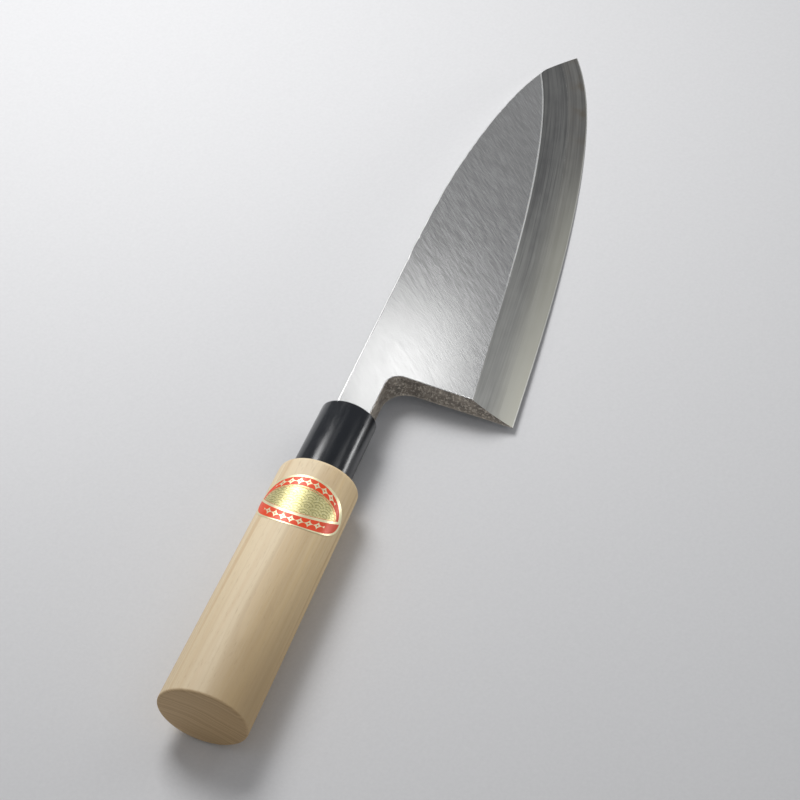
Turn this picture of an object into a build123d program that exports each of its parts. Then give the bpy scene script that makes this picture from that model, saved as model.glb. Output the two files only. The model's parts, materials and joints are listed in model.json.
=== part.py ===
from build123d import *

import os
from math import asin, atan, cos, degrees, sin, sqrt

# A single-bevel kitchen knife for a right-handed cook, lying on a table with its bevel up.
# Millimetres. In the knife's own frame x runs from the butt to the tip, y to the spine and
# z up out of the flat side, and the handle's axis is y = 0, z = 0. Heights are across the
# blade's plane, widths are through its thickness.

# All ovals are drawn with four arcs. The radius of their ends, as a share of half the height:
oval_end_share = 0.68

# Wooden handle: a tapered oval with a rounded shoulder and a tenon for the ferrule. The taper
# is what each side loses over the length.
wood_length = 101.5
butt_height = 29.8
butt_width = 24.0
wood_taper = 1.37
butt_rounding = 1.0
shoulder_rounding = 2.8

# Ferrule: a black oval cap, open to the tenon behind and slotted for the blade in front. It
# sits a little towards the spine.
ferrule_length = 28.2
ferrule_height = 19.6
ferrule_width = 15.8
ferrule_taper = 0.27
ferrule_side = 0.7
ferrule_wall = 2.2
ferrule_end_wall = 3.0
ferrule_chamfer = 0.4
slot_clearance = 0.6
seal_recess = 0.4

# Blade: distances along it start at the heel, and run negative towards the handle
neck_length = 20.8
blade_thickness = 8.4
distal_taper = 0.023
cross_taper = 0.013
neck_spine = 6.2
neck_belly = -6.0
neck_draft = 0.6
notch_radius = 4.8
notch_radius_below = 9.0
edge_land = 0.15
spine_rounding = 0.8
notch_rounding = 0.4

# The blade's long curves: how far each lies from the handle's axis at shared stations.
# The spine is straight up to its second station. The shinogi is the ridge over the bevel.
curve_stations = (-10, 50, 100, 140, 165, 190)
spine_sides = (6.3, 6.9, 6.0, 0.95, -6.2, -22.1)
spine_end_slope = -0.9
shinogi_sides = (-35.9, -29.3, -22.6, -14.1, -5.2, 13.8)
edge_sides = (-50.3, -45.1, -38.8, -30.9, -22.9, -7.8)
bevel_hollow = 0.9
heel_side = -49.5
tip_from_heel = 180.6
tip_side = -14.8

# Where the convex edge touches the table: the balance point lies over the line from here to
# the contact under the handle's shoulder
touch_from_heel = 158

# How far the profiles that trim the blade reach beyond it
blank_side = -70
trim_side = -90
trim_ahead = 200
trim_behind = -40
trim_depth = 1
trim_height = 2

# Laminate: hard cutting steel welded under the softer cladding, ending in a scarf at the neck
steel_thickness = 2.4
steel_thickness_tip = 1.5
scarf_start = -8
scarf_end = 2

# Hollow-ground back, left flat in a rim along the edge, the spine and the heel
rim_width = 2.5
hollow_stations = (-2, 16, 55, 95, 130, 152, 166)
hollow_depths = (-0.25, 0.3, 0.45, 0.4, 0.26, 0.1, -0.1)

# Tang: its shoulders seat on the ferrule, and it is burned into a drilled pilot hole
tang_root_height = 10.4
tang_root_width = 6.6
tang_end_height = 4.5
tang_end_width = 3.2
tang_end = 40
pilot_radius = 3.0
pilot_end = 36

# Foil label: a thin half-moon stuck round the top of the handle near its shoulder
foil_thickness = 0.12
label_start = 72.2
label_end = 93.6
label_half_width = 13.5
label_corner = 4.0
label_shoulder = (88.8, 11.7)

# Places along the knife, from the butt
ferrule_front = wood_length + ferrule_length
tenon_end = ferrule_front - ferrule_end_wall
heel = ferrule_front + neck_length
tip = heel + tip_from_heel
back = -blade_thickness / 2
wood_draft = degrees(atan(wood_taper / wood_length))
ferrule_draft = degrees(atan(ferrule_taper / ferrule_length))

# Ferrule's inside, concentric with its outside, and the blade's slot in its closed front
tenon_height = ferrule_height - 2 * (ferrule_taper + ferrule_wall)
tenon_width = ferrule_width - 2 * (ferrule_taper + ferrule_wall)
slot_height = tang_root_height + 2 * slot_clearance
slot_width = tang_root_width + 2 * slot_clearance


def oval_radii(height, width):
    """The radii of a four-arc oval's ends and of its sides."""
    end = oval_end_share * height / 2
    side = ((height / 2 - end) ** 2 + (width / 2) ** 2 - end**2) / (width - 2 * end)
    return end, side


def curve_at(sides, along):
    """A point of one of the blade's long curves, and how steeply the curve climbs there."""
    curve = Spline(*zip(curve_stations, sides))
    point = curve.find_intersection_points(Axis((along, 0, 0), (0, 1, 0)))[0]
    way = curve % curve.param_at_point(point)
    return point, way.Y / way.X


# Resting attitude: the table touches the wood's underside where the shoulder's rounding starts
# and one point of the convex edge. The butt, the heel's corner and the tip stand clear of it.
# side_slope and length_slope are the table's, seen from the knife.
touch, rise = curve_at(edge_sides, touch_from_heel)
wood_touch = wood_length - shoulder_rounding
lever = rise * (heel + touch.X - wood_touch) - touch.Y
butt_end_radius, butt_side_radius = oval_radii(butt_height, butt_width)
touch_radius = butt_side_radius - wood_taper * wood_touch / wood_length
drop = butt_side_radius - butt_width / 2 - back
spread = lever**2 - touch_radius**2
side_slope = (
    drop * lever - sqrt((drop * lever) ** 2 - spread * (drop**2 - touch_radius**2))
) / spread
length_slope = -side_slope * rise
steepness = sqrt(1 + side_slope**2 + length_slope**2)
pitch = asin(length_slope / steepness)
roll = asin(-side_slope / steepness / cos(pitch))
print(f"rests rolled {degrees(roll):.2f} degrees to the edge, tip {degrees(pitch):.2f} down")

lying = Plane(
    origin=(0, 0, 0),
    x_dir=(cos(pitch), 0, -sin(pitch)),
    z_dir=(cos(roll) * sin(pitch), -sin(roll), cos(roll) * cos(pitch)),
)
tip_point = lying.from_local_coords(Vector(tip, tip_side, back))
heel_point = lying.from_local_coords(Vector(heel, heel_side, back))
touch_point = lying.from_local_coords(Vector(heel + touch.X, touch.Y, back))
butt_back = -sin(pitch) * butt_width / 2
butt_side = (butt_height / 2 - butt_end_radius) * cos(roll) + butt_end_radius
middle = Vector((tip_point.X + butt_back) / 2, (heel_point.Y + butt_side) / 2, touch_point.Z)

# The knife's own frame, placed so that the row's origin is under the middle of the whole
knife = Plane(origin=-middle, x_dir=lying.x_dir, z_dir=lying.z_dir)


def place(along, side, up):
    """A point of the knife's own frame."""
    return knife.from_local_coords(Vector(along, side, up))


def across(along, side=0.0):
    """A plane square to the knife's length, its x towards the spine."""
    return Plane(origin=place(along, side, 0), x_dir=knife.y_dir, z_dir=knife.x_dir)


def over_back(height, distal=0.0, cross=0.0):
    """A plane over the flat back, `height` up at the neck's spine corner, which falls by
    `distal` towards the tip and by `cross` towards the edge. Its x is counted from the heel."""
    height_here = back + height - distal * neck_length - cross * neck_spine
    normal = place(distal, -cross, 1) - place(0, 0, 0)
    along = place(1, 0, -distal) - place(0, 0, 0)
    return Plane(origin=place(heel, 0, height_here), x_dir=along, z_dir=normal)


flat_face = over_back(blade_thickness, distal_taper, cross_taper)
half_face = over_back((blade_thickness + edge_land) / 2, distal_taper / 2, cross_taper / 2)


def oval(height, width):
    """A four-arc oval, its height lying towards the spine."""
    end, side = oval_radii(height, width)
    end_centre = Vector(height / 2 - end, 0)
    side_centre = Vector(0, width / 2 - side)
    join = end_centre + (end_centre - side_centre).normalized() * end
    with BuildSketch() as outline:
        with BuildLine():
            ThreePointArc((-join.X, join.Y), (0, width / 2), (join.X, join.Y))
            ThreePointArc((join.X, join.Y), (height / 2, 0), (join.X, -join.Y))
            ThreePointArc((join.X, -join.Y), (0, -width / 2), (-join.X, -join.Y))
            ThreePointArc((-join.X, -join.Y), (-height / 2, 0), (-join.X, join.Y))
        make_face()
    return outline.sketch


def waste_beyond(sides):
    """All that lies on the cutting side of one of the blade's long curves."""
    with BuildSketch() as waste:
        with BuildLine():
            curve = Spline(*zip(curve_stations, sides))
            Polyline(curve @ 1, (trim_ahead, trim_side), (trim_behind, trim_side), curve @ 0)
        make_face()
    return waste.sketch


def notch_outline(belly, radius):
    """The finger notch between the neck, the heel and the open cutting side."""
    with BuildSketch() as notch:
        with BuildLine():
            behind = Line((trim_behind, trim_side), (trim_behind, belly))
            neck = Line(behind @ 1, (-radius, belly))
            corner = RadiusArc(neck @ 1, (0, belly - radius), radius)
            Polyline(corner @ 1, (0, trim_side), behind @ 0)
        make_face()
    return notch.sketch


def seen_by_knife(shape):
    """A shape's centre in the knife's own frame."""
    return knife.to_local_coords(shape.center())


# The whole blade without its tang: outline, flat face, notch and hollow-ground bevel
with BuildPart() as blank:
    with BuildSketch(over_back(0)):
        with BuildLine():
            straight_end = (curve_stations[1], spine_sides[1])
            straight = Line((-neck_length, neck_spine), straight_end)
            falling = Spline(
                straight_end,
                *zip(curve_stations[2:], spine_sides[2:]),
                tangents=(straight % 1, (1, spine_end_slope)),
            )
            far_corner = (curve_stations[-1], blank_side)
            Polyline(falling @ 1, far_corner, (-neck_length, blank_side), straight @ 0)
        make_face()
    extrude(amount=blade_thickness + trim_height)
    split(bisect_by=flat_face, keep=Keep.BOTTOM)
    top_edges = edges().filter_by(lambda edge: flat_face.contains(edge @ 0.5, 0.01))
    fillet(top_edges.sort_by(lambda edge: seen_by_knife(edge).Y)[-2:], spine_rounding)

    with BuildSketch(over_back(0)):
        add(notch_outline(neck_belly - neck_draft, notch_radius_below))
    with BuildSketch(flat_face):
        add(notch_outline(neck_belly, notch_radius))
    loft(ruled=True, mode=Mode.SUBTRACT)
    with BuildSketch(over_back(-trim_depth)):
        add(waste_beyond(edge_sides))
    extrude(amount=trim_depth + edge_land, mode=Mode.SUBTRACT)
    middle_sides = [
        (edge + shinogi) / 2 + bevel_hollow for edge, shinogi in zip(edge_sides, shinogi_sides)
    ]
    with BuildSketch(over_back(edge_land)):
        add(waste_beyond(edge_sides))
    with BuildSketch(half_face):
        add(waste_beyond(middle_sides))
    with BuildSketch(flat_face):
        add(waste_beyond(shinogi_sides))
    loft(mode=Mode.SUBTRACT)
    notch_rim = [
        edge
        for edge in edges().filter_by(lambda edge: flat_face.contains(edge @ 0.5, 0.01))
        if seen_by_knife(edge).X < heel + 0.1 and seen_by_knife(edge).Y < neck_belly + 0.1
    ]
    fillet(notch_rim, notch_rounding)

# The room of the cutting steel in the blank, from its scarf at the neck to beyond the tip
with BuildPart() as steel_room:
    with BuildSketch(Plane(origin=place(heel, 0, back), x_dir=knife.x_dir, z_dir=-knife.y_dir)):
        Polygon(
            (scarf_start, -trim_depth),
            (scarf_start, 0),
            (scarf_end, steel_thickness),
            (tip_from_heel, steel_thickness_tip),
            (trim_ahead, steel_thickness_tip),
            (trim_ahead, -trim_depth),
            align=None,
        )
    extrude(amount=-trim_side, both=True)

# The tang, which tapers from the neck's shoulders into the handle
with BuildPart() as tang:
    with BuildSketch(across(ferrule_front)):
        Rectangle(tang_root_height, tang_root_width)
    with BuildSketch(across(tang_end)):
        Rectangle(tang_end_height, tang_end_width)
    loft(ruled=True)

with BuildPart() as cladding:
    add(blank.part)
    add(steel_room.part, mode=Mode.SUBTRACT)
    add(tang.part)

with BuildPart() as cutting_steel:
    add(blank.part)
    add(steel_room.part, mode=Mode.INTERSECT)
    for along, depth in zip(hollow_stations, hollow_depths):
        low = curve_at(edge_sides, along)[0].Y
        high = curve_at(spine_sides, along)[0].Y
        outside = (high - low) / 2
        springing = back + depth - abs(depth) * (outside / (outside - rim_width)) ** 2
        with BuildSketch(across(heel + along)):
            with BuildLine():
                crown = ((low + high) / 2, back + depth)
                arch = ThreePointArc((low, springing), crown, (high, springing))
                Polyline(arch @ 1, (high, back - trim_depth), (low, back - trim_depth), arch @ 0)
            make_face()
    loft(mode=Mode.SUBTRACT)

with BuildPart() as handle:
    with BuildSketch(across(0)):
        add(oval(butt_height, butt_width))
    extrude(amount=wood_length, taper=wood_draft)
    fillet(faces().sort_by(Axis.X)[0].edges(), butt_rounding)
    fillet(faces().sort_by(Axis.X)[-1].edges(), shoulder_rounding)

    with BuildSketch(across(wood_length, ferrule_side)):
        add(oval(tenon_height, tenon_width))
    extrude(amount=tenon_end - wood_length)
    with BuildSketch(across(tenon_end)):
        Circle(pilot_radius)
    extrude(amount=pilot_end - tenon_end, mode=Mode.SUBTRACT)
    add(tang.part, mode=Mode.SUBTRACT)

with BuildPart() as ferrule:
    with BuildSketch(across(wood_length, ferrule_side)):
        add(oval(ferrule_height, ferrule_width))
    extrude(amount=ferrule_length, taper=ferrule_draft)
    chamfer(faces().sort_by(Axis.X)[-1].edges(), ferrule_chamfer)
    with BuildSketch(across(wood_length, ferrule_side)):
        add(oval(tenon_height, tenon_width))
    extrude(amount=tenon_end - wood_length, mode=Mode.SUBTRACT)
    with BuildSketch(across(tenon_end)):
        Rectangle(slot_height, slot_width)
    extrude(amount=ferrule_end_wall, mode=Mode.SUBTRACT)

with BuildPart() as mouth_seal:
    with BuildSketch(across(tenon_end)):
        Rectangle(slot_height, slot_width)
    extrude(amount=ferrule_end_wall - seal_recess)
    add(tang.part, mode=Mode.SUBTRACT)

# The label is the part of a thin skin over the wood that lies under its half-moon outline
with BuildPart() as foil_label:
    with BuildSketch(across(0)):
        add(oval(butt_height, butt_width))
        offset(amount=foil_thickness)
    extrude(amount=wood_length, taper=wood_draft)
    with BuildSketch(across(0)):
        add(oval(butt_height, butt_width))
    extrude(amount=wood_length, taper=wood_draft, mode=Mode.SUBTRACT)
    with BuildSketch(knife):
        with BuildLine():
            corner_along = label_start + label_corner
            corner_side = label_half_width - label_corner
            dome = Spline(
                (corner_along, -label_half_width),
                (label_shoulder[0], -label_shoulder[1]),
                (label_end, 0),
                label_shoulder,
                (corner_along, label_half_width),
            )
            base = Line((label_start, -corner_side), (label_start, corner_side))
            RadiusArc(dome @ 0, base @ 0, label_corner)
            RadiusArc(base @ 1, dome @ 1, label_corner)
        make_face()
    extrude(amount=butt_width, mode=Mode.INTERSECT)

os.makedirs("parts", exist_ok=True)
for piece, name in (
    (cladding, "cladding"),
    (cutting_steel, "cutting_steel"),
    (handle, "handle"),
    (ferrule, "ferrule"),
    (mouth_seal, "mouth_seal"),
    (foil_label, "foil_label"),
):
    piece.part.label = name
    export_step(piece.part, f"parts/{name}.step")
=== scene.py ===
import json
from math import atan2, cos, pi, radians, sin

import bmesh
import bpy
from mathutils import Matrix, Vector


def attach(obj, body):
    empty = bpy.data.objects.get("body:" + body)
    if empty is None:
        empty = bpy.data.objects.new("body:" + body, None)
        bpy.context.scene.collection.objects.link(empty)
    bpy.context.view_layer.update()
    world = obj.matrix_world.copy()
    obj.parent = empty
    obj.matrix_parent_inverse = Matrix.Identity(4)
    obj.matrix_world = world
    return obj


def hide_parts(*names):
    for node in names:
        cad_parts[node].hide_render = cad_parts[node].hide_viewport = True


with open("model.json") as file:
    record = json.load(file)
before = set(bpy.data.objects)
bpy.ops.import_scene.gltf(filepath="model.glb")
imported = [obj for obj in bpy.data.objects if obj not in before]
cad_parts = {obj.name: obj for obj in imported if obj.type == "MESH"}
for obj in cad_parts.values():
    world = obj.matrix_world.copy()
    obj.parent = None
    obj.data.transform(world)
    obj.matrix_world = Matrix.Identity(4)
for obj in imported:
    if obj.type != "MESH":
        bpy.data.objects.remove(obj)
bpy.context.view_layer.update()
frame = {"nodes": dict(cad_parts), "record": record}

# Metres. The knife's own frame comes from two of its mounts: it starts in the middle of the
# handle's butt, with x along the knife, y towards the spine and z from the flat back upwards.
mounts = {mount["name"]: mount for mount in frame["record"]["mounts"]}
butt_centre = Vector(mounts["butt_end"]["pos_m"])
forward = -Vector(mounts["butt_end"]["axis"]).normalized()
upward = -Vector(mounts["flat_back"]["axis"]).normalized()
spineward = upward.cross(forward)
knife = Matrix((forward, spineward, upward)).transposed().to_4x4()
knife.translation = butt_centre

# Wooden handle. Each `half` holds half the oval's size towards the spine and upwards.
wood_length = 0.1015
butt_half = (0.0149, 0.0120)
shoulder_half = (0.01353, 0.01063)
butt_rounding = 0.0010
shoulder_rounding = 0.0028

# Ferrule
ferrule_length = 0.0282
ferrule_rear_half = (0.0098, 0.0079)
ferrule_front_half = (0.00953, 0.00763)
ferrule_side = 0.0007
ferrule_rounding = 0.0004
tenon_half = (0.00733, 0.00543)
tenon_length = 0.0252

# Blade: where the heel lies along the knife, and how far towards the edge the neck reaches
heel = 0.1505
neck_belly = -0.006

# The blade's long curves, for the finishes: how far each lies from the handle's axis, in
# millimetres, as a polynomial of the distance from the heel in decimetres
edge_curve = (3.8104, -15.3791, 23.562, -14.2814, 5.5053, 7.4527, -49.4617)
shinogi_curve = (6.9346, -29.9121, 48.7829, -32.8906, 9.2503, 9.9248, -34.6707)

# Foil label: an oval that is bent over arcs a little off the wood, and then laid on it. The
# arcs round the wood's two sides have a share of half its height as their radius. The flat
# place of each point, from the label's middle along the knife and round the wood, is kept in
# a UV map whose whole side is `uv_unit` long.
label_middle = 0.0821
label_shift = -0.0004
label_half = (0.0106, 0.0167)
label_thickness = 0.00012
label_lift = 0.0004
side_arc_share = 0.68
uv_unit = 0.04

# Points closer than this to a plane lie in it
nearness = 1e-6

# Faces that meet at a smaller angle than `one_face` are one flat face, and the edges between
# faces that meet at a smaller angle than the others are shaded smooth
one_face = radians(0.05)
smooth_rod = radians(35)
smooth_label = radians(30)
smooth_blade = radians(18)


class Wire:
    """The output of a material's node. Sums with it add their Math nodes."""

    def __init__(self, finish, socket):
        self.finish = finish
        self.socket = socket

    def __add__(self, other):
        return self.finish.maths("ADD", self, other)

    def __sub__(self, other):
        return self.finish.maths("SUBTRACT", self, other)

    def __rsub__(self, other):
        return self.finish.maths("SUBTRACT", other, self)

    def __mul__(self, other):
        return self.finish.maths("MULTIPLY", self, other)

    def __truediv__(self, other):
        return self.finish.maths("DIVIDE", self, other)

    def __pow__(self, other):
        return self.finish.maths("POWER", self, other)

    __radd__ = __add__
    __rmul__ = __mul__


class Finish:
    """A material whose nodes are added one by one."""

    def __init__(self, name, **constants):
        self.material = bpy.data.materials.new(name)
        self.material.use_nodes = True
        self.tree = self.material.node_tree
        self.shader = self.tree.nodes["Principled BSDF"]
        self.set(**constants)

    def feed(self, node, name, value):
        """Sets a socket, found by number, name or identifier, or links it."""
        if isinstance(name, int):
            socket = node.inputs[name]
        else:
            named = [each for each in node.inputs if name in (each.identifier, each.name)]
            socket = named[0]
        if isinstance(value, Wire):
            self.tree.links.new(value.socket, socket)
        elif isinstance(value, tuple) and socket.type == "RGBA":
            socket.default_value = (*value, 1)
        else:
            socket.default_value = value

    def node(self, kind, settings=(), sockets=(), output=0):
        """Adds a node with its settings and the values or links of its sockets."""
        new = self.tree.nodes.new(kind)
        for setting, value in dict(settings).items():
            setattr(new, setting, value)
        for name, value in dict(sockets).items():
            self.feed(new, name, value)
        named = [each for each in new.outputs if output in (each.identifier, each.name)]
        return Wire(self, named[0] if named else new.outputs[output])

    def maths(self, operation, *values):
        """Adds a Math node."""
        return self.node("ShaderNodeMath", {"operation": operation}, dict(enumerate(values)))

    def set(self, **sockets):
        """Feeds the shader's own sockets."""
        for socket, value in sockets.items():
            self.feed(self.shader, socket.replace("_", " "), value)

    def place(self):
        """Where a point of the surface lies in the knife's own frame."""
        coordinates = self.node("ShaderNodeTexCoord", output="Object")
        return self.node(
            "ShaderNodeMapping",
            {"vector_type": "TEXTURE"},
            {"Vector": coordinates, "Location": knife.translation, "Rotation": knife.to_euler()},
        )

    def axis(self, place, name):
        """One coordinate of a place: X, Y or Z."""
        return self.node("ShaderNodeSeparateXYZ", {}, {"Vector": place}, name)

    def stretched(self, place, stretch, turn=0.0, shift=(0, 0, 0)):
        """Pattern coordinates: `stretch` is how many units a metre gives on each axis, after
        the pattern is turned in the blade's plane."""
        turned = self.node("ShaderNodeMapping", {}, {"Vector": place, "Rotation": (0, 0, turn)})
        return self.node(
            "ShaderNodeMapping", {}, {"Vector": turned, "Scale": stretch, "Location": shift}
        )

    def noise(self, place, detail=3.0, roughness=0.5):
        """Cloudy values round 0.5 that change over about one unit of the place."""
        return self.node(
            "ShaderNodeTexNoise",
            {},
            {"Vector": place, "Scale": 1.0, "Detail": detail, "Roughness": roughness},
        )

    def between(self, value, low, high, start=0.0, end=1.0):
        """Runs softly from `start` to `end` while a value runs from `low` to `high`."""
        return self.node(
            "ShaderNodeMapRange",
            {"interpolation_type": "SMOOTHSTEP"},
            {"Value": value, "From Min": low, "From Max": high, "To Min": start, "To Max": end},
        )

    def mix(self, mask, first, second):
        """The first colour where the mask is 0, the second where it is 1."""
        return self.node(
            "ShaderNodeMix",
            {"data_type": "RGBA"},
            {"Factor_Float": mask, "A_Color": first, "B_Color": second},
            "Result_Color",
        )

    def bump(self, height, distance):
        """The surface's direction, as if a height of 1 stood out by `distance` metres."""
        return self.node(
            "ShaderNodeBump",
            {},
            {"Height": height, "Distance": distance, "Strength": 1.0},
            "Normal",
        )


def polynomial(along, coefficients):
    """The value of a polynomial, highest power first."""
    total = coefficients[0]
    for coefficient in coefficients[1:]:
        total = total * along + coefficient
    return total


def over_curves(finish, place):
    """How far along the blade a point lies, in decimetres from the heel, and how far towards
    the spine from the edge and from the shinogi, in millimetres."""
    along = (finish.axis(place, "X") - heel) * 10
    side = finish.axis(place, "Y") * 1000
    return along, side - polynomial(along, edge_curve), side - polynomial(along, shinogi_curve)


def pale_wood():
    """Growth rings round a pith far below the handle: wide streaks on top, close lines on the
    sides, and long arcs across the butt. Painted shade darkens the wood towards the butt and browns
    its side towards the edge."""
    finish = Finish("bare pale wood")
    place = finish.place()
    from_butt = finish.axis(place, "X")
    wander = finish.noise(finish.stretched(place, (7, 55, 55)), detail=2)
    from_pith = finish.node(
        "ShaderNodeVectorMath",
        {"operation": "LENGTH"},
        {"Vector": finish.stretched(place, (0.0, 1.0, 1.0), shift=(0, -0.011, 0.055))},
        "Value",
    )
    layer = (from_pith + from_butt * 0.012 + wander * 0.0028) * 1000
    layered = finish.node("ShaderNodeCombineXYZ", {}, {"X": layer * 0.62, "Y": from_butt * 5.0})
    streaks = finish.noise(layered, detail=2.5, roughness=0.55)
    lines = finish.noise(finish.node("ShaderNodeCombineXYZ", {}, {"X": layer * 2.4}), detail=1)
    fibres = finish.noise(finish.stretched(place, (60, 1500, 1500)), detail=3, roughness=0.6)
    pores = finish.noise(finish.stretched(place, (300, 2600, 2600)), detail=1)
    pore_mask = finish.between(pores, 0.62, 0.74)
    # Painted shade: the side towards the edge is browner and darker, where the handle turns away
    # from the light
    edgeward = finish.between(finish.axis(place, "Y"), 0.004, -0.013)
    cream = finish.mix(edgeward, (0.84, 0.69, 0.465), (0.72, 0.53, 0.275))
    tan = finish.mix(edgeward, (0.68, 0.485, 0.275), (0.53, 0.36, 0.17))
    streaked = finish.mix(finish.between(streaks, 0.44, 0.68, 0.0, 0.8), cream, tan)
    lined = finish.mix(finish.between(lines, 0.52, 0.66, 0.0, 0.3), streaked, (0.50, 0.35, 0.20))
    fibred = finish.mix(finish.between(fibres, 0.3, 0.7, 0.0, 0.22), lined, (0.84, 0.72, 0.53))
    # Painted shade: darker and browner towards the butt, most on the side towards the edge, where
    # less light falls
    butt_painted_shade = finish.between(from_butt, 0.085, 0.0) * (edgeward * 0.5 + 0.22)
    darkened = finish.mix(butt_painted_shade, fibred, (0.36, 0.235, 0.105))
    pored = finish.mix(pore_mask * 0.16, darkened, (0.36, 0.24, 0.13))
    arcs = finish.between(lines * 0.6 + streaks * 0.4, 0.42, 0.6)
    end_grain = finish.mix(arcs, (0.58, 0.40, 0.21), (0.43, 0.28, 0.14))
    rim = finish.between(from_butt, 0.00015, 0.0012, 1.0, 0.0)
    finish.set(
        Base_Color=finish.mix(rim * 0.9, pored, end_grain),
        Roughness=finish.between(fibres, 0.2, 0.8, 0.5, 0.66),
        Normal=finish.bump(fibres * 0.7 + lines * 0.3 - pore_mask * 0.5, 0.00005),
    )
    return finish.material


def black_polish():
    """Polished black with a faint haze along the knife."""
    finish = Finish("polished black", Base_Color=(0.008, 0.010, 0.014), IOR=1.5)
    haze = finish.noise(finish.stretched(finish.place(), (150, 700, 700)), detail=3)
    finish.set(
        Roughness=finish.between(haze, 0.3, 0.7, 0.15, 0.24),
        Normal=finish.bump(haze, 0.000006),
    )
    return finish.material


def flat_steel():
    """The blade's flat face: slanted grinding lines, cloudy wear, and a painted highlight along
    the ridge over the bevel (the shinogi)."""
    finish = Finish("satin steel, ground across", Metallic=1.0)
    place = finish.place()
    slant = radians(46)
    fine = finish.noise(finish.stretched(place, (2400, 170, 170), turn=slant), detail=2)
    coarse = finish.noise(finish.stretched(place, (1700, 110, 110), turn=slant + 0.06), detail=1)
    crossing = finish.noise(finish.stretched(place, (2100, 150, 150), turn=slant - 0.4), detail=2)
    cloud = finish.noise(finish.stretched(place, (26, 34, 34)), detail=3)
    lines = fine * 0.5 + coarse * 0.25 + crossing * 0.25
    along, _, over_shinogi = over_curves(finish, place)
    ground = finish.mix(finish.between(lines, 0.34, 0.66), (0.63, 0.63, 0.625), (0.79, 0.79, 0.785))
    tipward = finish.between(along, 0.2, 1.5)
    worn = finish.mix(
        finish.between(cloud, 0.35, 0.75, 0.0, 0.35) * tipward, ground, (0.47, 0.465, 0.455)
    )
    # Painted highlight: a pale line along the shinogi, fading in away from the heel
    shinogi_painted_highlight = finish.between(over_shinogi, 0.75, 0.35) * finish.between(along, 0.35, 0.8)
    finish.set(
        Base_Color=finish.mix(shinogi_painted_highlight, worn, (0.92, 0.92, 0.90)),
        Roughness=finish.between(lines, 0.35, 0.65, 0.13, 0.18) + shinogi_painted_highlight * 0.2,
        Normal=finish.bump(lines, 0.000008),
    )
    return finish.material


def bevel_steel(name, near_heel, near_tip):
    """The bevel: fine stone lines that follow the edge, a painted reflection that darkens it
    towards the tip and makes it lighter and warmer towards the edge near the heel, and a painted
    glint on the very edge."""
    finish = Finish(name, Metallic=1.0)
    place = finish.place()
    along, over_edge, over_shinogi = over_curves(finish, place)
    follow = finish.node(
        "ShaderNodeCombineXYZ", {}, {"X": along * 3.2, "Y": over_edge * 2.3, "Z": over_edge * 0.1}
    )
    fine = finish.noise(follow, detail=3, roughness=0.6)
    broad = finish.noise(
        finish.node("ShaderNodeCombineXYZ", {}, {"X": along * 1.3, "Y": over_edge * 0.42}), detail=2
    )
    mottle = finish.noise(finish.stretched(place, (150, 230, 230)), detail=4)
    lines = fine * 0.5 + broad * 0.35 + mottle * 0.15
    share = over_edge / (over_edge - over_shinogi)
    # Painted reflection: the bevel's colour runs from lighter near the heel to darker near the tip
    tipward = finish.between(along, 0.1, 1.35)
    shade = finish.mix(tipward, near_heel, near_tip)
    # Painted reflection: lighter and warmer towards the edge, most near the heel
    edgeward = finish.between(share, 0.75, 0.0)
    edge_painted_reflection = finish.mix(
        edgeward * finish.between(along, 1.45, 0.75, 0.1, 0.95), shade, (0.68, 0.67, 0.58)
    )
    streaked = finish.mix(finish.between(lines, 0.36, 0.64, 0.0, 0.28), edge_painted_reflection, (0.70, 0.70, 0.66))
    near_tip_edge = finish.between(along, 1.15, 1.55) * finish.between(share, 0.5, 0.1)
    stain = finish.between(mottle, 0.45, 0.7) * near_tip_edge * 0.5
    stained = finish.mix(stain, streaked, (0.25, 0.20, 0.14))
    # Painted glint: a bright line on the very edge
    edge_painted_glint = finish.between(over_edge, 0.5, 0.25)
    finish.set(
        Base_Color=finish.mix(edge_painted_glint, stained, (0.86, 0.86, 0.80)),
        Roughness=finish.between(lines, 0.3, 0.7, 0.3, 0.4),
        Normal=finish.bump(lines, 0.00002),
    )
    return finish.material


def forge_scale():
    """Scale left by the forging: coarse dark grains with bright specks between them, and a painted
    highlight along the lower arris.
    """
    finish = Finish("forged scale")
    place = finish.place()
    grains = finish.noise(finish.stretched(place, (1300, 1300, 1300)), detail=3, roughness=0.7)
    patches = finish.noise(finish.stretched(place, (220, 220, 420)), detail=3)
    bright = finish.between(grains, 0.50, 0.64)
    dark = finish.mix(finish.between(patches, 0.3, 0.7), (0.15, 0.13, 0.11), (0.33, 0.285, 0.235))
    # Painted highlight: a thin light line along the lower arris of the heel
    lower_arris_painted_highlight = finish.between(finish.axis(place, "Z"), -0.0034, -0.0040)
    finish.set(
        Base_Color=finish.mix(bright * 0.7 + lower_arris_painted_highlight * 0.3, dark, (0.78, 0.71, 0.60)),
        Metallic=bright * 0.6,
        Roughness=finish.between(grains, 0.3, 0.7, 0.6, 0.42),
        Normal=finish.bump(grains * 0.7 + patches * 0.3, 0.0002),
    )
    return finish.material


def spine_steel():
    """The spine: satin lines across it."""
    finish = Finish("spine, ground across", Metallic=1.0)
    place = finish.place()
    lines = finish.noise(finish.stretched(place, (2000, 90, 90)), detail=3)
    finish.set(
        Base_Color=finish.mix(lines, (0.72, 0.72, 0.72), (0.90, 0.90, 0.89)),
        Roughness=finish.between(lines, 0.3, 0.7, 0.42, 0.55),
        Normal=finish.bump(lines, 0.00002),
    )
    return finish.material


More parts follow.
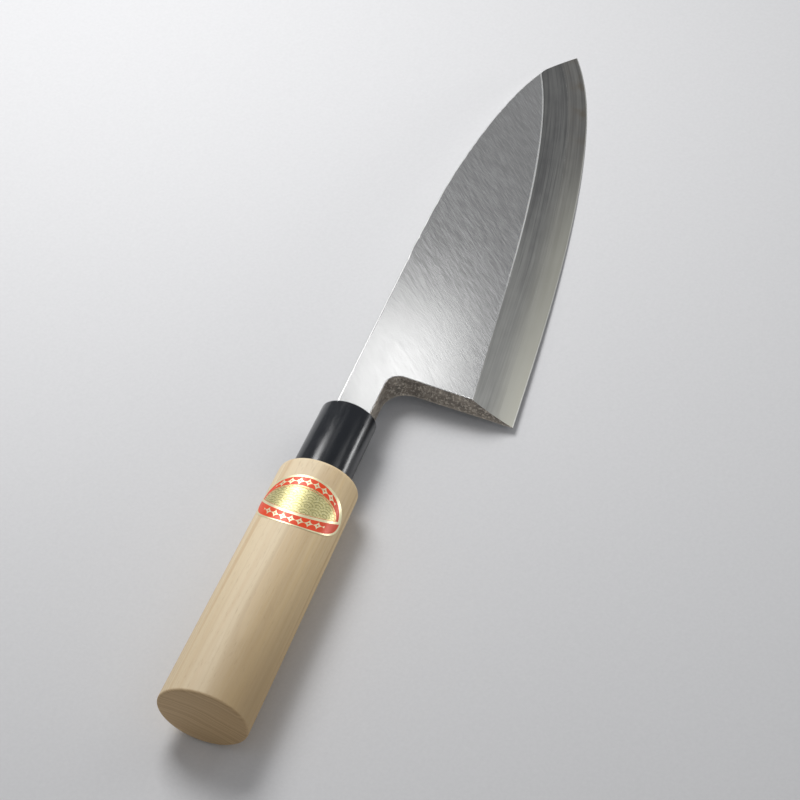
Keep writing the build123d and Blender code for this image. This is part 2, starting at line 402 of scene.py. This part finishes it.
def hollow_back():
    """The hollow-ground back: wheel lines along the blade, polished bright on the flat rim."""
    finish = Finish("hollow-ground back", Metallic=1.0)
    place = finish.place()
    _, over_edge, _ = over_curves(finish, place)
    fine = finish.noise(finish.stretched(place, (30, 1500, 300)), detail=3)
    broad = finish.noise(finish.stretched(place, (12, 260, 60)), detail=2)
    lines = fine * 0.6 + broad * 0.4
    rim = finish.between(over_edge, 3.0, 2.2)
    ground = finish.mix(finish.between(lines, 0.34, 0.66), (0.50, 0.50, 0.51), (0.70, 0.70, 0.70))
    finish.set(
        Base_Color=finish.mix(rim * 0.6, ground, (0.80, 0.80, 0.79)),
        Roughness=finish.between(lines, 0.3, 0.7, 0.24, 0.34) - rim * 0.08,
        Normal=finish.bump(lines, 0.00002),
    )
    return finish.material


def resin():
    """Matt dark resin."""
    finish = Finish("dark resin", Base_Color=(0.05, 0.04, 0.03))
    grain = finish.noise(finish.stretched(finish.place(), (900, 900, 900)), detail=2)
    finish.set(
        Roughness=finish.between(grain, 0.3, 0.7, 0.5, 0.7), Normal=finish.bump(grain, 0.00005)
    )
    return finish.material


def printed_foil():
    """Gold foil with a red arch and a red base band. A pale rim, thin lines, a row of small
    blossoms on each band and a traditional wave pattern in the field are printed with them.
    Its measures are flat millimetres from the label's middle."""
    finish = Finish("printed foil")
    flat = finish.node("ShaderNodeUVMap", {"uv_map": "flat print"}, {}, "UV")
    up = (finish.axis(flat, "Y") - 0.5) * (uv_unit * 1000)
    round_wood = (finish.axis(flat, "X") - 0.5) * (uv_unit * 1000)
    line_blur = 0.05

    def oval(half_up, half_round):
        """1 on an oval's outline, less inside it."""
        return ((up / half_up) ** 2 + (round_wood / half_round) ** 2) ** 0.5

    def inside(value, edge, blur=line_blur):
        """1 where a value lies below an edge, 0 above it."""
        return finish.between(value, edge + blur, edge - blur)

    # the base band's upper outline, and the height over it
    band_bow = round_wood * round_wood * 0.0285
    over_band = up - band_bow + 6.3
    band_zone = inside(over_band, 0.0)
    upper_zone = 1 - inside(over_band, 1.1)
    in_rim = inside(oval(*(half * 1000 for half in label_half)), 0.955, 0.006)
    arch_outer = inside(oval(9.8, 15.0), 1.0, 0.006)
    arch_inner = inside(oval(6.1, 13.9), 1.0, 0.008)
    red = band_zone * in_rim + upper_zone * (arch_outer - arch_inner)
    arched_line = inside(oval(5.55, 13.3), 1.0, 0.009) - inside(oval(5.3, 13.05), 1.0, 0.009)
    base_line = inside(over_band, 1.28) - inside(over_band, 1.05)
    fine_red = base_line * arch_inner + arched_line * upper_zone

    # blossoms, evenly spaced round the wood on the middle line of each band
    pitch = 2.9
    cell = (finish.maths("FRACT", round_wood / pitch + 0.5) - 0.5) * pitch
    arch_middle = (1 - (round_wood / 14.5) ** 2) ** 0.5 * 7.95
    band_middle = band_bow - 8.2

    def blossom(height):
        """A small flower with four petals."""
        across = finish.maths("ABSOLUTE", cell)
        upright = finish.maths("ABSOLUTE", up - height)
        petals = (across ** 0.6 + upright ** 0.6) ** 1.667
        return inside(petals, 1.75, 0.12) - inside(petals, 0.55, 0.1)

    row_reach = inside(finish.maths("ABSOLUTE", round_wood), 11.0)
    blossoms = (blossom(arch_middle) + blossom(band_middle)) * row_reach

    # overlapping waves, each of three rings, in rows half a wave apart
    wave = 3.3
    rows = (up + 20) / (wave / 2)
    step = finish.maths("FRACT", rows)
    odd = finish.maths("PINGPONG", rows - step, 1.0)
    side = finish.maths("PINGPONG", (round_wood + 40) / wave + odd, 1.0) * wave
    other = wave - side
    first = ((step * 0.5 + 0.5) * wave) ** 2 + other**2
    second = (step * 0.5 * wave) ** 2 + side**2
    third = ((1 - step) * 0.5 * wave) ** 2 + other**2
    in_first = finish.maths("LESS_THAN", first, wave**2)
    in_second = finish.maths("LESS_THAN", second, wave**2)
    lower = in_second * second + (1 - in_second) * third
    reached = (in_first * first + (1 - in_first) * lower) ** 0.5
    wave_lines = inside(finish.maths("PINGPONG", reached, wave / 6), 0.13, 0.06)
    field = arch_inner * upper_zone

    grain = finish.noise(finish.stretched(finish.place(), (2300, 2300, 2300)), detail=2)
    crinkle = finish.noise(finish.stretched(finish.place(), (220, 320, 320)), detail=3)
    gold = finish.mix(finish.between(grain, 0.4, 0.7), (0.62, 0.56, 0.25), (0.82, 0.76, 0.42))
    pale = (0.85, 0.80, 0.52)
    waved = finish.mix(wave_lines * 0.8, gold, (0.27, 0.24, 0.09))
    ground = finish.mix(field, pale, waved)
    printed = finish.mix(red, ground, (0.86, 0.068, 0.010))
    flowered = finish.mix(blossoms * red, printed, pale)
    finish.set(
        Base_Color=finish.mix(fine_red * 0.85, flowered, (0.72, 0.16, 0.06)),
        Metallic=0.55 - red * (1 - blossoms) * 0.5,
        Roughness=finish.between(grain * 0.5 + crinkle * 0.5, 0.3, 0.7, 0.3, 0.44),
        Normal=finish.bump(grain * 0.35 + crinkle * 0.65, 0.00005),
    )
    return finish.material


# Modelling helpers
def start_piece(name):
    """Names the primitive that was just added, and opens it for shaping."""
    piece = bpy.context.object
    piece.name = name
    piece.data.name = name
    bpy.ops.object.transform_apply(location=True, rotation=True, scale=True)
    bpy.ops.object.mode_set(mode="EDIT")
    bpy.ops.mesh.select_mode(type="VERT")
    return piece


def select(piece, kind, test):
    """In edit mode, selects just the vertices, edges or faces that pass a test."""
    mode = {"verts": "VERT", "edges": "EDGE", "faces": "FACE"}[kind]
    bpy.ops.mesh.select_mode(type=mode)
    bpy.ops.mesh.select_all(action="DESELECT")
    shape = bmesh.from_edit_mesh(piece.data)
    for item in getattr(shape, kind):
        item.select_set(test(item))
    shape.select_flush_mode()
    bmesh.update_edit_mesh(piece.data)


def at_end(position):
    """A test for edges or faces that lie at one place along the knife."""
    return lambda item: all(abs(vert.co.x - position) < nearness for vert in item.verts)


def close_piece(smooth_below):
    """Ends the shaping: recalculates the normals and shades all but the sharp edges smooth."""
    bpy.ops.mesh.select_all(action="SELECT")
    bpy.ops.mesh.normals_make_consistent(inside=False)
    bpy.ops.object.mode_set(mode="OBJECT")
    bpy.ops.object.shade_smooth_by_angle(angle=smooth_below)


def lay_in_place(piece):
    """Moves a piece that was shaped in the knife's own frame to where the knife lies."""
    piece.matrix_world = knife
    bpy.ops.object.transform_apply(location=True, rotation=True, scale=True)


def oval_rod(name, start, length, start_half, end_half, side=0.0):
    """A tapered oval rod along the knife, moved to the side, opened for shaping."""
    bpy.ops.object.select_all(action="DESELECT")
    bpy.ops.mesh.primitive_cylinder_add(
        vertices=128, radius=1, depth=length, location=(start + length / 2, 0, 0),
        rotation=(0, pi / 2, 0),
    )
    piece = start_piece(name)
    for position, half in ((start, start_half), (start + length, end_half)):
        select(piece, "verts", lambda vert: abs(vert.co.x - position) < nearness)
        bpy.ops.transform.resize(value=(1, *half), center_override=(position, 0, 0))
        bpy.ops.transform.translate(value=(0, side, 0))
    return piece


def fit_oval(start_size, end_size):
    """The scale that turns one oval into another."""
    return tuple(end / start for start, end in zip(start_size, end_size))


def round_end(piece, position, rounding, segments):
    """Rounds a rod's rim at one place along the knife."""
    select(piece, "edges", at_end(position))
    bpy.ops.mesh.bevel(offset=rounding, offset_type="OFFSET", segments=segments, affect="EDGES")


def give_finish(piece, *materials):
    """Replaces a piece's materials."""
    piece.data.materials.clear()
    for material in materials:
        piece.data.materials.append(material)


# Handle: an oval rod with rounded ends, and a tenon in front for the ferrule
handle = oval_rod("handle_wood", 0, wood_length, butt_half, shoulder_half)
round_end(handle, 0, butt_rounding, 5)
round_end(handle, wood_length, shoulder_rounding, 8)
select(handle, "faces", at_end(wood_length))
bpy.ops.mesh.extrude_region_move()
shoulder_flat = tuple(half - shoulder_rounding for half in shoulder_half)
bpy.ops.transform.resize(
    value=(1, *fit_oval(shoulder_flat, tenon_half)), center_override=(wood_length, 0, 0)
)
bpy.ops.mesh.extrude_region_move(TRANSFORM_OT_translate={"value": (tenon_length, 0, 0)})
close_piece(smooth_rod)
lay_in_place(handle)
give_finish(handle, pale_wood())

# Ferrule: an oval cap, bored from behind
ferrule = oval_rod(
    "ferrule_cap", wood_length, ferrule_length, ferrule_rear_half, ferrule_front_half,
    ferrule_side,
)
round_end(ferrule, wood_length + ferrule_length, ferrule_rounding, 4)
select(ferrule, "faces", at_end(wood_length))
bpy.ops.mesh.extrude_region_move()
bpy.ops.transform.resize(
    value=(1, *fit_oval(ferrule_rear_half, tenon_half)),
    center_override=(wood_length, ferrule_side, 0),
)
bpy.ops.mesh.extrude_region_move(TRANSFORM_OT_translate={"value": (tenon_length, 0, 0)})
close_piece(smooth_rod)
lay_in_place(ferrule)
give_finish(ferrule, black_polish())


def from_solid(node, name):
    """A new piece from a CAD node's own shape, with its doubled points merged, and opened for
    shaping in the knife's own frame."""
    bpy.ops.object.select_all(action="DESELECT")
    piece = bpy.data.objects.new(name, frame["nodes"][node].data.copy())
    piece.data.name = name
    bpy.context.scene.collection.objects.link(piece)
    bpy.context.view_layer.objects.active = piece
    piece.select_set(True)
    piece.data.transform(knife.inverted())
    bpy.ops.mesh.customdata_custom_splitnormals_clear()
    bpy.ops.object.mode_set(mode="EDIT")
    bpy.ops.mesh.select_all(action="SELECT")
    bpy.ops.mesh.remove_doubles(threshold=2 * nearness)
    bpy.ops.mesh.dissolve_limited(angle_limit=one_face)
    return piece


def assign(piece, slot, test):
    """Gives the faces that pass a test one of the piece's finishes."""
    select(piece, "faces", test)
    piece.active_material_index = slot
    bpy.ops.object.material_slot_assign()


flat_finish = flat_steel()
scale_finish = forge_scale()
spine_finish = spine_steel()
back_finish = hollow_back()
# Each bevel's colour near the heel and near the tip: the darkening towards the tip is painted
# reflection, while the edge steel's lighter tone is its own
body_bevel = bevel_steel("bevel of the body steel", (0.37, 0.37, 0.355), (0.23, 0.23, 0.23))
edge_bevel = bevel_steel("bevel of the edge steel", (0.46, 0.46, 0.43), (0.26, 0.255, 0.25))


def is_heel(face):
    """The upright faces of the heel, the notch and the neck's underside."""
    middle = face.calc_center_median()
    behind = middle.x < heel + 0.0005 and middle.y < neck_belly + 0.0008
    return behind and abs(face.normal.z) < 0.8


def is_bevel(face):
    """The slope from the shinogi down to the edge."""
    middle = face.calc_center_median()
    return middle.x > heel and 0.7 < face.normal.z < 0.992 and face.normal.y < -0.08


def is_spine(face):
    """The faces that look towards the spine, or forwards at the tip."""
    return face.normal.y > 0.25 or (face.normal.x > 0.3 and face.normal.y > 0)


def is_back(face):
    """The hollow back and its flat rim."""
    return face.normal.z < -0.9


def finish_blade(piece, bevel):
    """Gives the flat face and each other side of the blade its finish, and lays the piece in
    place."""
    give_finish(piece, flat_finish, bevel, spine_finish, scale_finish, back_finish)
    for slot, test in enumerate((is_bevel, is_spine, is_heel, is_back), start=1):
        assign(piece, slot, test)
    # the large flat faces keep their true outline, and only the roundings are shaded smooth
    large_area = 0.0003
    select(piece, "faces", lambda face: face.calc_area() > large_area)
    bpy.ops.mesh.region_to_loop()
    bpy.ops.mesh.mark_sharp()
    bpy.ops.object.mode_set(mode="OBJECT")
    bpy.ops.object.shade_smooth_by_angle(angle=smooth_blade)
    lay_in_place(piece)


cladding = from_solid("cladding", "blade_body")
finish_blade(cladding, body_bevel)
edge_steel = from_solid("cutting_steel", "blade_edge")
finish_blade(edge_steel, edge_bevel)

# Label: a flat oval, its flat place kept as its UV map, then bent round the wood
bpy.ops.object.select_all(action="DESELECT")
bpy.ops.mesh.primitive_circle_add(vertices=160, radius=1, fill_type="NGON")
label = start_piece("foil_label_print")
bpy.ops.mesh.select_all(action="SELECT")
bpy.ops.transform.resize(value=(*label_half, 1))
for way, cuts_each_side, spacing in (((1, 0, 0), 11, 0.00095), ((0, 1, 0), 27, 0.00061)):
    for cut in range(-cuts_each_side, cuts_each_side + 1):
        bpy.ops.mesh.select_all(action="SELECT")
        bpy.ops.mesh.bisect(plane_co=Vector(way) * (cut * spacing), plane_no=way)
bpy.ops.object.mode_set(mode="OBJECT")
flat_print = label.data.uv_layers.new(name="flat print")
for corner in label.data.loops:
    along_label, round_label, _ = label.data.vertices[corner.vertex_index].co
    flat_print.data[corner.index].uv = (round_label / uv_unit + 0.5, along_label / uv_unit + 0.5)

# The label is bent over a flat arc above the wood and a closer arc round each side of it
narrowing = label_middle / wood_length
half_height, half_width = (
    butt + (shoulder - butt) * narrowing for butt, shoulder in zip(butt_half, shoulder_half)
)
side_radius = side_arc_share * half_height
side_centre = half_height - side_radius
top_radius = (side_centre**2 + half_width**2 - side_radius**2) / (2 * (half_width - side_radius))
top_turn = atan2(side_centre, top_radius - half_width)


def wrapped(vert):
    """Where a point of the flat label comes to lie round the wood, in the knife's frame."""
    along_label, round_label, _ = vert.co
    run = round_label + label_shift
    turn = min(abs(run) / top_radius, top_turn)
    turn += max(0, abs(run) - top_radius * top_turn) / side_radius
    if turn < top_turn:
        side, up = top_radius * sin(turn), half_width - top_radius * (1 - cos(turn))
    else:
        side, up = side_centre + side_radius * sin(turn), side_radius * cos(turn)
    return Vector((label_middle + along_label, side if run < 0 else -side, up + label_lift))


for vert in label.data.vertices:
    vert.co = wrapped(vert)
give_finish(label, printed_foil())
lay_in_place(label)
for kind, settings in (
    ("SHRINKWRAP", {"target": handle, "wrap_method": "NEAREST_SURFACEPOINT",
                    "wrap_mode": "ABOVE_SURFACE", "offset": label_thickness / 2}),
    ("SOLIDIFY", {"thickness": label_thickness * 0.9, "offset": 0.0}),
):
    modifier = label.modifiers.new(kind.lower(), kind)
    for setting, value in settings.items():
        setattr(modifier, setting, value)
    bpy.ops.object.modifier_apply(modifier=modifier.name)
bpy.ops.object.mode_set(mode="EDIT")
close_piece(smooth_label)

for piece, node, slot in (
    (handle, "handle", "pale_wood"),
    (ferrule, "ferrule", "black_ferrule"),
    (cladding, "cladding", "cladding_steel"),
    (edge_steel, "cutting_steel", "edge_steel"),
    (label, "foil_label", "printed_foil"),
):
    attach(piece, "root")
    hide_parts(node)
give_finish(frame["nodes"]["mouth_seal"], resin())

# Floor
bpy.ops.object.select_all(action="DESELECT")
bpy.ops.mesh.primitive_plane_add(size=8, location=(0, 0, 0))
floor = bpy.context.object
floor.name = "floor"
paper = Finish("pale floor", Roughness=0.9)
fleck = paper.noise(paper.stretched(paper.place(), (900, 900, 900)), detail=2)
paper.set(Base_Color=paper.mix(fleck, (0.70, 0.70, 0.71), (0.76, 0.76, 0.77)))
give_finish(floor, paper.material)

# Lamps, placed in the knife's own frame: name, place, aim, size across and up, radiance
for name, place, aim_at, size, radiance in (
    ("soft box beyond the tip", (0.838, 0.145, 0.730), (0.17, -0.01, 0), (0.075, 0.085), 1.8),
    ("key from the spine's side", (0.35, 0.27, 0.42), (0.14, 0, 0), (0.26, 0.26), 10.4),
    ("small lamp over the spine", (0.77, 0.385, 0.68), (0.12, 0, 0), (0.10, 0.12), 3.6),
    ("strip beside the edge", (0.735, -0.79, 0.180), (0.115, 0, 0), (0.36, 0.15), 10.5),
    ("fill beyond the edge", (0.70, -0.50, 0.68), (0.17, -0.04, 0), (0.3, 0.3), 1.2),
):
    lamp = bpy.data.lights.new(name, "AREA")
    lamp.shape = "RECTANGLE"
    lamp.size, lamp.size_y = size
    lamp.energy = radiance * pi * size[0] * size[1]
    stand = bpy.data.objects.new(name, lamp)
    bpy.context.scene.collection.objects.link(stand)
    turn = (Vector(aim_at) - Vector(place)).to_track_quat("-Z", "Y").to_matrix().to_4x4()
    stand.matrix_world = knife @ Matrix.Translation(place) @ turn

world = bpy.data.worlds.new("studio")
bpy.context.scene.world = world
world.use_nodes = True
sky = world.node_tree.nodes["Background"]
sky.inputs["Color"].default_value = (0.97, 0.98, 1.0, 1)
sky.inputs["Strength"].default_value = 0.30

# Camera, placed in the knife's own frame
lens_place = Vector((-0.51264, -0.18250, 0.76716))
looks_at = Vector((0.1436, -0.0120, 0.0))
camera_roll = radians(6.81)
camera = bpy.data.cameras.new("camera")
camera.sensor_width = 36
camera.lens = 140.1
eye = bpy.data.objects.new("camera", camera)
bpy.context.scene.collection.objects.link(eye)
aim = (looks_at - lens_place).to_track_quat("-Z", "Y").to_matrix().to_4x4()
roll = Matrix.Rotation(camera_roll, 4, "Z")
eye.matrix_world = knife @ Matrix.Translation(lens_place) @ aim @ roll
bpy.context.scene.camera = eye
bpy.context.scene.view_settings.view_transform = "Standard"
